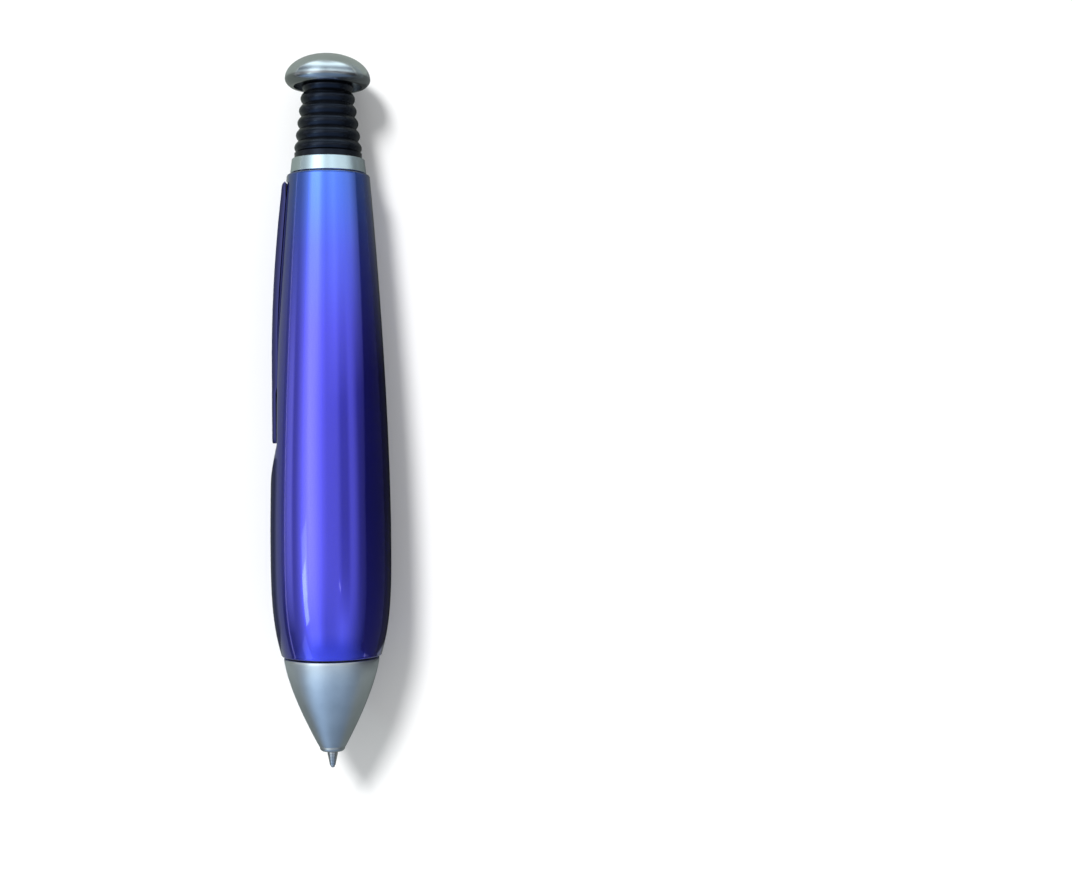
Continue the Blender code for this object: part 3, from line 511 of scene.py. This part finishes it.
# The attribute marks unlacquered plastic, whose colour paints shade: darkest at the rims, lighter inside.
bare_painted_shade = shape.verts.layers.float.new("bare_painted_shade")
for vert in shape.verts:
    if abs(vert.co.z - AXIS_Z) > PAINTED_DARK_RIM_FROM * clip_half_width(station_of(vert.co.y)) / 1000:
        vert[bare_painted_shade] = RIM_BARE_PAINTED_DARK
made = bmesh.ops.extrude_face_region(shape, geom=list(shape.faces), use_keep_orig=True)
for vert in [item for item in made["geom"] if isinstance(item, bmesh.types.BMVert)]:
    vert[bare_painted_shade] = 1.0
    vert.co.x = -clip_rim(min(station_of(vert.co.y), CLIP_REAR), (vert.co.z - AXIS_Z) * 1000) / 1000
bmesh.ops.remove_doubles(shape, verts=shape.verts, dist=MERGE)
bmesh.ops.recalc_face_normals(shape, faces=shape.faces)
for vert in shape.verts:
    if station_of(vert.co.y) > CLIP_REAR - 0.05:    # the root's last row, where both faces meet
        vert[bare_painted_shade] = 0.0
rims = [e for e in shape.edges if len(e.link_faces) == 2 and e.calc_face_angle() > RIM_ANGLE]
bmesh.ops.bevel(shape, geom=rims, offset=RIM_BEVEL, offset_type="OFFSET", segments=2, profile=0.5,
                affect="EDGES", material=-1, clamp_overlap=True)
bmesh.ops.recalc_face_normals(shape, faces=shape.faces)
clip = piece("clip_tongue", shape, clip_lacquer)
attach(clip, "clip")
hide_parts("clip")

# %% [markdown]
# The nose is a cone that swells a little, with a narrow level land at the seam that catches a line of light,
# a rounded end and a hole for the point.

# %% Nose
NOSE_FRONT, NOSE_REAR = 3.8, 24.9                                   # stations
NOSE_RADIUS, NOSE_TAPER, NOSE_POWER = 10.66, 8.26, 1.4
POINT_HOLE, SPRING_BORE, THREAD_BORE = 1.47, 3.0, 7.4               # radii


def nose_radius(station):
    return NOSE_RADIUS - NOSE_TAPER * ((NOSE_REAR - station) / (NOSE_REAR - NOSE_FRONT)) ** NOSE_POWER


nose_rim = rounding(10.46, 24.75, 0.15, 90, 0, 4)
nose_side = [(10.61, 24.35)] + [(nose_radius(s), s) for s in spread(24.2, 4.9, 70)]
nose_end = rounding(nose_radius(4.6) - 0.8, 4.6, 0.8, 20, -90, 8)
nose_bore = [(POINT_HOLE, NOSE_FRONT), (POINT_HOLE, 8.0), (SPRING_BORE, 8.0), (SPRING_BORE, 19.5),
             (THREAD_BORE, 19.5), (THREAD_BORE, NOSE_REAR)]
shape = turned(nose_rim + nose_side + nose_end + nose_bore, steps=160)
nose = piece("nose_shell", shape, satin)
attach(nose, "nose")
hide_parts("nose_cone")

# %% [markdown]
# The collar is a short plated band, a little conical, with broken edges. Its cone has several rows, so that
# smooth shading stays even on it.

# %% Collar
COLLAR_FRONT, COLLAR_REAR = 133.1, 136.3                            # stations
COLLAR_BORE, COLLAR_RADIUS, COLLAR_FLARE = 7.8, 8.1, 0.35           # the radius is that at the rear
BROKEN_EDGE = 0.15

cone_front, cone_rear = COLLAR_FRONT + BROKEN_EDGE, COLLAR_REAR - BROKEN_EDGE
collar_top = rounding(COLLAR_RADIUS - BROKEN_EDGE, cone_rear, BROKEN_EDGE, 90, 0, 4)
collar_cone = [(COLLAR_RADIUS + COLLAR_FLARE * (cone_rear - s) / (cone_rear - cone_front), s)
               for s in spread(136.12, 133.28, 10)]
collar_foot = rounding(COLLAR_RADIUS + COLLAR_FLARE - BROKEN_EDGE, cone_front, BROKEN_EDGE, 0, -90, 4)
collar_bore = [(COLLAR_BORE, COLLAR_FRONT), (COLLAR_BORE, COLLAR_REAR)]
shape = turned(collar_top + collar_cone + collar_foot + collar_bore, steps=160)
collar = piece("collar_band", shape, plating)
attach(collar, "barrel")
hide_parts("collar_ring")

# %% [markdown]
# The bellows has six round ribs that meet in sharp valleys and grow smaller towards the button. In the pen it
# follows the barrel at its foot and the button at its top and stretches with the click; here it is one still
# piece, attached to neither body.

# %% Bellows
RIBS, FIRST_RIB, RIB_PITCH = 6, 139.0, 2.75
FIRST_PEAK, PEAK_DROP, RIB_DEPTH = 7.5, 1.8, 0.75                   # peaks drop from the first rib to the last
POINTS_PER_RIB = 18


def rib_radius(station):
    peak = FIRST_PEAK - PEAK_DROP * (station - FIRST_RIB) / ((RIBS - 1) * RIB_PITCH)
    return peak - RIB_DEPTH * (1 - abs(math.cos(math.pi * (station - FIRST_RIB) / RIB_PITCH)))


ribs_front = FIRST_RIB - RIB_PITCH / 2
ribs_rear = FIRST_RIB + (RIBS - 0.5) * RIB_PITCH
ribs = [(rib_radius(s), s) for s in spread(ribs_rear, ribs_front, RIBS * POINTS_PER_RIB + 1)]
inside = [(7.5, ribs_front), (7.5, 134.6), (5.9, 134.6), (4.15, ribs_rear)]
bellows = piece("bellows_skin", turned(ribs + inside, steps=112), rubber, sharp=60)
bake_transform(bellows)
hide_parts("bellows")

# %% [markdown]
# The button is a mushroom: a flat dome, the upper half of an ellipse, over a lip that is part of a flatter one.

# %% Button
BUTTON_RADIUS, BUTTON_RIM = 9.5, 154.225                            # radius and station of the widest place
DOME_HEIGHT, LIP_HEIGHT, LIP_RADIUS = 5.65, 3.4, 8.3
POCKET_RADIUS, POCKET_FLOOR = 7.6, 154.425
STEM_RADIUS, STEM_END = 4.15, 158.0

dome = [(BUTTON_RADIUS * math.sin(a), BUTTON_RIM + DOME_HEIGHT * math.cos(a))
        for a in spread(0, math.pi / 2, 40)]
mouth = math.acos(LIP_RADIUS / BUTTON_RADIUS)
lip = [(BUTTON_RADIUS * math.cos(a), BUTTON_RIM - LIP_HEIGHT * math.sin(a))
       for a in spread(0, mouth, 16)[1:]]
pocket = [(POCKET_RADIUS, lip[-1][1]), (POCKET_RADIUS, POCKET_FLOOR), (STEM_RADIUS, POCKET_FLOOR),
          (STEM_RADIUS, STEM_END), (0.0, STEM_END)]
shape = turned(dome + lip + pocket, steps=160, closed=False)
button = piece("button_shell", shape, button_plating)
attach(button, "button")
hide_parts("button_cap")

# %% [markdown]
# The refill's point is turned steel: a shank, a cone and a rolled lip round the writing ball.

# %% Point
shank = [(0.0, 13.05), (1.17, 13.05), (1.17, 3.5), (1.15, 3.2)]
cone_and_lip = [(0.66, 0.75), (0.6, 0.56), (0.55, 0.55)]
socket = [(0.55, 1.1), (0.0, 1.1)]
shape = turned(shank + cone_and_lip + socket, steps=64, closed=False)
tip = piece("point_shell", shape, steel)
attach(tip, "refill")
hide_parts("refill_point")

# %% [markdown]
# The return spring is wound wire. Spinning a small circle of wire with a step along the axis winds a helix: a
# close turn, open turns and another close turn. In the pen its front end stays with the barrel and its rear
# end follows the refill, so it closes when the button goes in; here it is one still piece, attached to no body.

# %% Spring
WIRE_RADIUS, COIL_RADIUS, SPRING_FRONT = 0.25, 2.35, 9.85
STEPS_PER_TURN = 28
WINDINGS = [(1.0, 0.6), (5.0, 11.3), (1.0, 0.6)]                    # (turns, travel along the axis)

shape = bmesh.new()
ring = bmesh.ops.create_circle(shape, cap_ends=False, segments=10, radius=WIRE_RADIUS / 1000)["verts"]
bmesh.ops.translate(shape, verts=ring, vec=(COIL_RADIUS / 1000, along(SPRING_FRONT), AXIS_Z))
section = list(ring) + list(shape.edges)
for turns, travel in WINDINGS:
    steps = int(turns * STEPS_PER_TURN)
    wound = bmesh.ops.spin(shape, geom=section, cent=(0, 0, AXIS_Z), axis=(0, 1, 0),
                           dvec=(0, travel / 1000 / steps, 0), angle=2 * math.pi * turns, steps=steps,
                           use_merge=False, use_duplicate=False)
    section = wound["geom_last"]
bmesh.ops.holes_fill(shape, edges=shape.edges, sides=12)
bmesh.ops.recalc_face_normals(shape, faces=shape.faces)
spring = piece("spring_wire", shape, steel)
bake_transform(spring)
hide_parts("return_spring")

# %% [markdown]
# ## Studio
# The pen rests on its belly and its button's rim, so the table leans a little in the pen's own frame. The
# table is a wide plane just below both.

# %% Table
BELLY_REST, RIM_REST = 53.0, 154.2          # stations
TABLE_GAP, TABLE_REACH = 0.0001, 20.0       # metres

rest_low = [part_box("barrel")[0].z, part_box("button_cap")[0].z]
lean = math.atan2(rest_low[1] - rest_low[0], (along(RIM_REST) - along(BELLY_REST)))
shape = bmesh.new()
bmesh.ops.create_grid(shape, x_segments=1, y_segments=1, size=TABLE_REACH)
bmesh.ops.rotate(shape, verts=shape.verts, cent=(0, 0, 0), matrix=Matrix.Rotation(lean, 3, "X"))
bmesh.ops.translate(shape, verts=shape.verts, vec=(0, 0, -along(BELLY_REST) * math.tan(lean) - TABLE_GAP))
mesh = bpy.data.meshes.new("table")
shape.to_mesh(mesh)
shape.free()
table = bpy.data.objects.new("table", mesh)
bpy.context.scene.collection.objects.link(table)
paper, tree, shader, where = finish_named("white_paper")
fill(tree, shader, [("Base Color", linear("#F8F8F8")), ("Roughness", 0.9), ("Specular IOR Level", 0.0)])
table.data.materials.append(paper)
print("table leans %.2f degrees" % math.degrees(lean))

# %% [markdown]
# Lacquer and silver show what stands round them. A grey-green mat lies under the pen, with darker shades on it
# at the left, far left and right, and a dark flag stands at the right, lower towards the button. They are seen
# in reflections only, so that the sides of the pen go dark and its form reads, while the table stays white.

# %% Mat, shades and flag
ON_TABLE, ON_MAT = 0.00005, 0.0001          # heights in metres


def sheet(left, right, front, rear, above):
    """The corners of a rectangle on the table, as (x, station, height above the table)."""
    return [(left, front, above), (right, front, above), (right, rear, above), (left, rear, above)]


def reflected_card(name, corners, axis, stops):
    """A flat stage card that only reflections see. Its colour fades along an axis from stop to stop."""
    shape = bmesh.new()
    verts = []
    for x, station, above in corners:
        z = (station - BELLY_REST) / 1000 * math.tan(lean) - TABLE_GAP + above
        verts.append(shape.verts.new((x, along(station), z)))
    shape.faces.new(verts)
    mesh = bpy.data.meshes.new(name)
    shape.to_mesh(mesh)
    shape.free()
    card = bpy.data.objects.new(name, mesh)
    bpy.context.scene.collection.objects.link(card)
    card.visible_camera = card.visible_diffuse = card.visible_shadow = card.visible_transmission = False
    matt, tree, shader, where = finish_named(name + "_card")
    fade = ramp_along(tree, where, axis, [(at, linear(code)) for at, code in stops])
    fill(tree, shader, [("Base Color", fade), ("Roughness", 1.0), ("Specular IOR Level", 0.0)])
    mesh.materials.append(matt)


reflected_card("mat", sheet(-0.6, 0.6, -520, 680, ON_TABLE), "Y",
               [(along(0), "#8E9491"), (along(100), "#949A93")])
reflected_card("shade_left", sheet(-0.048, -0.006, 22, 70, ON_MAT), "X",
               [(-0.048, "#868C88"), (-0.034, "#464A4D")])
reflected_card("shade_far_left", sheet(-0.6, -0.11, -150, 150, ON_MAT), "Y",
               [(along(2), "#565A5C"), (along(24), "#7C807C")])
FLAG_X = 0.034
reflected_card("flag", [(FLAG_X, 12, 0), (FLAG_X, 200, 0), (FLAG_X, 200, 0.008), (FLAG_X, 60, 0.03),
                        (FLAG_X, 12, 0.03)], "Y",
               [(along(20), "#5C5C60"), (along(60), "#4A4A4E"), (along(90), "#4A4A4E"),
                (along(165), "#98A0A0")])
reflected_card("shade_right", [(0.006, 32, ON_MAT), (FLAG_X, 12, ON_MAT), (FLAG_X, 160, ON_MAT),
                               (0.006, 160, ON_MAT)], "Y",
               [(along(20), "#3C3C3E"), (along(60), "#2A2A2C"), (along(90), "#2A2A2C"),
                (along(150), "#7C807E")])
print("mat, shades and flag ready")

# %% [markdown]
# The room is a plain studio: a broad window to the left, a softer ceiling, and a dim right side. Reflections
# see it in five zones along the pen, each with its own brightness by the angle round the pen's axis, and with
# a tint by the angle along it. Matt surfaces take a plain even light instead, a little brighter from the
# right, so that the key lamp below can draw the shadow.

# %% Room light
# (angle round the axis in degrees, negative to the left; brightness)
NOSE = [(-90, 0.6), (-70, 0.95), (-54, 1.2), (-40, 1.15), (-24, 0.85), (0, 0.7), (40, 0.6), (68, 0.42),
        (90, 0.38)]
FRONT = [(-90, 0.15), (-80, 0.2), (-60, 0.5), (-48, 0.9), (-36, 1.35), (-22, 1.3), (-12, 0.8), (-4, 0.6),
         (12, 0.65), (28, 0.85), (42, 0.66), (55, 0.42), (68, 0.22), (78, 0.1), (90, 0.08)]
MIDDLE = [(-90, 0.48), (-84, 0.84), (-75, 0.98), (-70, 0.42), (-63, 0.48), (-52, 1.05), (-43, 1.65),
          (-35, 2.3), (-26, 2.0), (-9, 1.0), (0, 0.75), (20, 0.7), (28, 0.36), (40, 0.36), (46, 0.65),
          (53, 0.6), (64, 0.2), (76, 0.15), (90, 0.14)]
REAR = [(-90, 0.42), (-73, 0.45), (-61, 0.7), (-50, 1.05), (-39, 2.1), (-20, 2.2), (-9, 1.3), (0, 1.05),
        (20, 1.4), (30, 1.15), (50, 1.0), (64, 0.98), (78, 0.62), (90, 0.34)]
BACK = [(-90, 1.1), (0, 0.9), (90, 1.0)]
# (angle along the pen in degrees, negative towards the point; linear colour)
TINTS = [(-85, (0.5, 0.62, 0.8)), (-58, (0.58, 0.82, 1.2)), (-44, (0.64, 0.92, 1.38)),
         (-32, (0.55, 0.75, 1.02)), (-24, (0.95, 1.08, 1.2)), (-3, (1.0, 1.0, 1.05)), (6, (1.0, 1.0, 1.05)),
         (14, (0.95, 1.05, 1.1)), (22, (0.92, 1.08, 1.15)), (29, (0.42, 0.5, 0.56)), (40, (0.34, 0.4, 0.46)),
         (50, (0.75, 0.9, 0.98)), (59, (1.4, 1.65, 1.75)), (70, (1.4, 1.65, 1.7)), (78, (0.75, 0.86, 0.9)),
         (87, (0.35, 0.38, 0.4))]
ZONE_TOP, TINT_TOP = 4.0, 3.0       # ramps hold colours up to 1, so they hold shares of these
EVEN_LIGHT = [(0.0, 0.46), (0.5, 0.54), (1.0, 0.94)]    # (share from left to right, brightness)

world = bpy.data.worlds.new("studio")
bpy.context.scene.world = world
world.use_nodes = True
tree = world.node_tree
direction = add(tree, "ShaderNodeTexCoord").outputs["Generated"]
split = add(tree, "ShaderNodeSeparateXYZ", [("Vector", direction)])
around = add(tree, "ShaderNodeMath", [(0, split.outputs["X"]), (1, split.outputs["Z"])], operation="ARCTAN2")
around_share = share_between(tree, around.outputs["Value"], -math.pi / 2, math.pi / 2)
slope = add(tree, "ShaderNodeMath", [(0, split.outputs["Y"])], operation="ARCSINE")


def degrees_share(angle):
    """The share of an angle between -90 and 90 degrees."""
    return (angle + 90) / 180


def zone(stops):
    """The brightness of a zone of the room by the angle round the pen's axis."""
    return ramp(tree, around_share, [(degrees_share(angle), grey(level / ZONE_TOP)) for angle, level in stops])


def slope_share(low, high):
    """0 to 1 as the angle along the pen goes from low to high, in degrees."""
    return share_between(tree, slope.outputs["Value"], math.radians(low), math.radians(high))


room = zone(NOSE)
for stops, begins, full in ((FRONT, -36, -27), (MIDDLE, -20, -3), (REAR, 6, 14), (BACK, 34, 50)):
    room = mixed(tree, room, zone(stops), slope_share(begins, full), "MIX")
tint = ramp(tree, slope_share(-90, 90),
            [(degrees_share(angle), [c / TINT_TOP for c in colour] + [1.0]) for angle, colour in TINTS])
panels = tree.nodes["Background"]
fill(tree, panels, [("Color", mixed(tree, room, tint)), ("Strength", ZONE_TOP * TINT_TOP)])
sides = ramp(tree, around_share, [(share, grey(level)) for share, level in EVEN_LIGHT])
even = add(tree, "ShaderNodeBackground", [("Color", sides), ("Strength", 0.86)])
path = add(tree, "ShaderNodeLightPath")
lit = add(tree, "ShaderNodeMixShader", [("Fac", path.outputs["Is Diffuse Ray"]), (1, panels.outputs[0]),
                                        (2, even.outputs[0])])
tree.links.new(lit.outputs[0], tree.nodes["World Output"].inputs["Surface"])
print("room ready")

# %% [markdown]
# A broad sun-like key from the upper left gives the table its soft shadow. Four small lamps make the glints: a
# panel over the nose, a panel and a strip at the left front for the long pale glint, and a thin strip at the
# right for the small one.

# %% Lamps
def toward(round_angle, along_angle):
    """The direction at an angle round the pen's axis and an angle along it, in degrees from straight up."""
    a, b = math.radians(round_angle), math.radians(along_angle)
    return Vector((math.sin(a) * math.cos(b), math.sin(b), math.cos(a) * math.cos(b)))


def lamp(name, kind, direction, distance=0.5):
    made = bpy.data.objects.new(name, bpy.data.lights.new(name, kind))
    made.rotation_mode = "QUATERNION"
    made.rotation_quaternion = direction.to_track_quat("Z", "Y")
    made.location = Vector((0, 0, AXIS_Z)) + direction * distance
    bpy.context.scene.collection.objects.link(made)
    return made


key = lamp("key_lamp", "SUN", toward(-19, 30))
key.data.energy = 2.6
key.data.angle = math.radians(15)
key.visible_glossy = False

for name, direction, width, length, radiance, code in (
        ("panel_nose", toward(-52, -38), 0.16, 0.1, 0.5, "#D8ECFF"),
        ("panel_left", toward(-44, -10), 0.09, 0.09, 1.1, "#D8F4FF"),
        ("strip_left", toward(-43.5, -16), 0.13, 0.065, 2.6, "#DCFFF4"),
        ("strip_right", toward(23, -12.5), 0.008, 0.03, 2.0, "#FFFFFF")):
    strip = lamp(name, "AREA", direction)
    strip.data.shape = "RECTANGLE"
    strip.data.size, strip.data.size_y = width, length
    strip.data.energy = radiance * math.pi * width * length
    strip.data.color = linear(code)[:3]
print("lamps ready")

# %% [markdown]
# ## Camera
# The photograph looks almost straight down from 383 mm with a lens of 57 mm, and the pen lies left of the
# middle.

# %% Camera
FOCAL, WIDTH = 1710.0, 1072.0                               # pixels
SENSOR = 36.0                                               # millimetres
PITCH, ROLL = math.radians(-0.5), math.radians(0.37)
SHIFT_RIGHT, SHIFT_UP, DISTANCE = 0.04616, -0.00782, 0.3834    # metres from the pen's middle

back = Vector((0, -math.sin(PITCH), math.cos(PITCH)))
right = Vector((math.cos(ROLL), -math.cos(PITCH) * math.sin(ROLL), -math.sin(PITCH) * math.sin(ROLL)))
up = back.cross(right)
camera = bpy.data.objects.new("camera", bpy.data.cameras.new("camera"))
camera.data.sensor_width = SENSOR
camera.data.lens = SENSOR * FOCAL / WIDTH
middle = Vector((0, (along(0) + along(BUTTON_RIM + DOME_HEIGHT)) / 2, AXIS_Z))
camera.matrix_world = Matrix((right, up, back)).transposed().to_4x4()
camera.location = middle + SHIFT_RIGHT * right + SHIFT_UP * up + DISTANCE * back
camera.data.clip_start, camera.data.clip_end = 0.01, 100.0
bpy.context.scene.collection.objects.link(camera)
bpy.context.scene.camera = camera
bpy.context.scene.view_settings.view_transform = "Standard"
print("lens %.1f mm" % camera.data.lens)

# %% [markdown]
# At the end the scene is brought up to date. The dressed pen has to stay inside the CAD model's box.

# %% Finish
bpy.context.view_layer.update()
